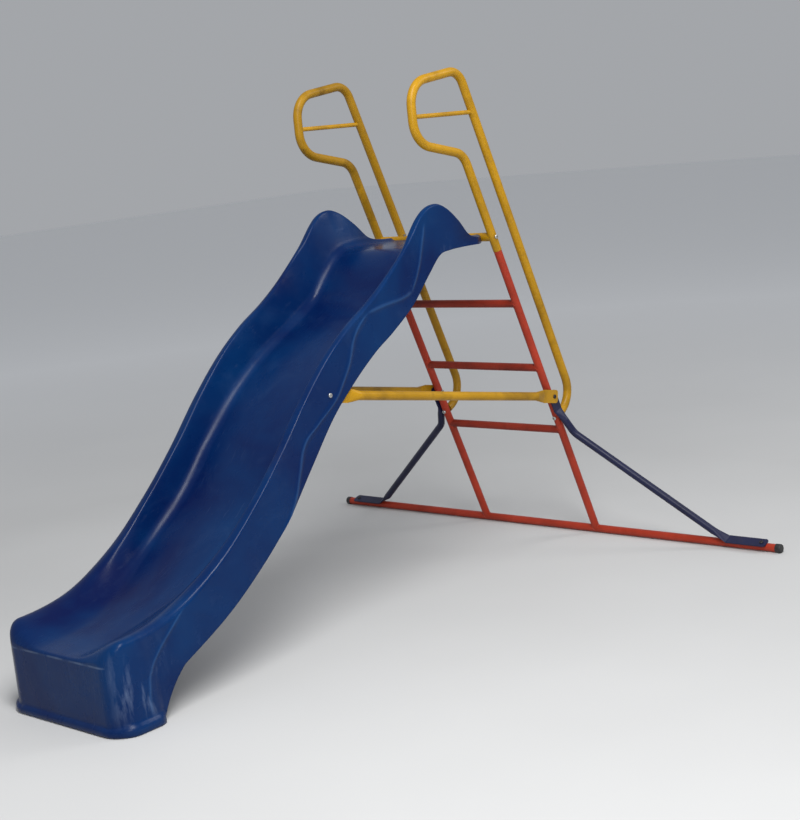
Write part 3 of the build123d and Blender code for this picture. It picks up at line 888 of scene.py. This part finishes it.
class SLIDE_OT_stage(bpy.types.Operator):
    """Set the plain floor, the soft lights and the camera"""
    bl_idname = "slide.stage"
    bl_label = "Stage"

    def execute(self, context):
        settings = context.scene.slide_stage
        scene = context.scene
        bm = bmesh.new()
        bmesh.ops.create_grid(bm, x_segments=8, y_segments=8, size=30)
        mesh = mesh_from(bm, "floor")
        floor = bpy.data.objects.new("floor", mesh)
        scene.collection.objects.link(floor)
        finish = Finish("floor_paper")
        tone = finish.ramp(finish.noise(0.6, 3, 0.5), 0.3, 0.7)
        near = finish.mix(tone, (0.55, 0.55, 0.545), (0.59, 0.59, 0.585))
        x, y, _ = finish.axes()
        distance = finish.math("POWER", finish.math(
            "ADD", finish.times(x, x), finish.times(y, y)), 0.5)
        mesh.materials.append(finish.done(
            finish.mix(finish.ramp(distance, 2.5, 8.0), near, (0.93, 0.94, 0.95)),
            finish.ramp(finish.noise(3, 3, 0.5), 0.3, 0.7, 0.75, 0.85)))

        world = bpy.data.worlds.new("studio")
        world.use_nodes = True
        world.node_tree.nodes["Background"].inputs["Color"].default_value = (0.92, 0.95, 1.0, 1)
        world.node_tree.nodes["Background"].inputs["Strength"].default_value = settings.sky
        scene.world = world
        scene.view_settings.view_transform = "Standard"

        self.soft_light("key", (2.6, -1.9, 4.6), (0, -0.5, 0.5), (1.3, 3.8), settings.key_power)
        self.soft_light("fill", (4.7, -4.3, 2.4), (0, -0.4, 0.6), (1.6, 1.6), settings.fill_power)
        self.soft_light("back", (3.8, 3.6, 4.2), (0, 0.2, 0.8), (2.0, 2.0), settings.fill_power)

        camera_data = bpy.data.cameras.new("view")
        camera_data.lens = settings.lens
        camera = bpy.data.objects.new("view", camera_data)
        right = Vector((0.7364, 0.6682, -0.1058))
        up = Vector((-0.0419, 0.2012, 0.9786))
        forward = Vector((-0.6753, 0.7162, -0.1762))
        turn = Matrix((right, up, -forward)).transposed().to_4x4()
        camera.matrix_world = Matrix.Translation((3.9617, -3.7753, 1.6756)) @ turn
        scene.collection.objects.link(camera)
        scene.camera = camera
        return {"FINISHED"}

    def soft_light(self, name, place, target, size, power):
        data = bpy.data.lights.new(name, "AREA")
        data.shape = "RECTANGLE"
        data.size, data.size_y = size
        data.energy = power
        light = bpy.data.objects.new(name, data)
        light.location = place
        aim = Vector(target) - Vector(place)
        light.rotation_euler = aim.to_track_quat("-Z", "Y").to_euler()
        bpy.context.scene.collection.objects.link(light)


class SLIDE_PT_panel(bpy.types.Panel):
    """The slide's builders"""
    bl_label = "Garden slide"
    bl_space_type = "VIEW_3D"
    bl_region_type = "UI"
    bl_category = "Slide"

    def draw(self, context):
        for operator in OPERATORS:
            self.layout.operator(operator.bl_idname)
        for group in (context.scene.slide_chute, context.scene.slide_tube,
                      context.scene.slide_stage):
            for name in group.__annotations__:
                self.layout.prop(group, name)


OPERATORS = (SLIDE_OT_chute, SLIDE_OT_frame, SLIDE_OT_welds, SLIDE_OT_stage)
CLASSES = (SlideChuteSettings, SlideTubeSettings, SlideStageSettings, *OPERATORS,
           SLIDE_PT_panel)


def register():
    for cls in CLASSES:
        bpy.utils.register_class(cls)
    bpy.types.Scene.slide_chute = bpy.props.PointerProperty(type=SlideChuteSettings)
    bpy.types.Scene.slide_tube = bpy.props.PointerProperty(type=SlideTubeSettings)
    bpy.types.Scene.slide_stage = bpy.props.PointerProperty(type=SlideStageSettings)


def unregister():
    del bpy.types.Scene.slide_stage
    del bpy.types.Scene.slide_tube
    del bpy.types.Scene.slide_chute
    for cls in reversed(CLASSES):
        bpy.utils.unregister_class(cls)


def main():
    register()
    bpy.ops.slide.chute()
    bpy.ops.slide.frame()
    bpy.ops.slide.welds()
    bpy.ops.slide.stage()


if __name__ == "__main__":
    main()
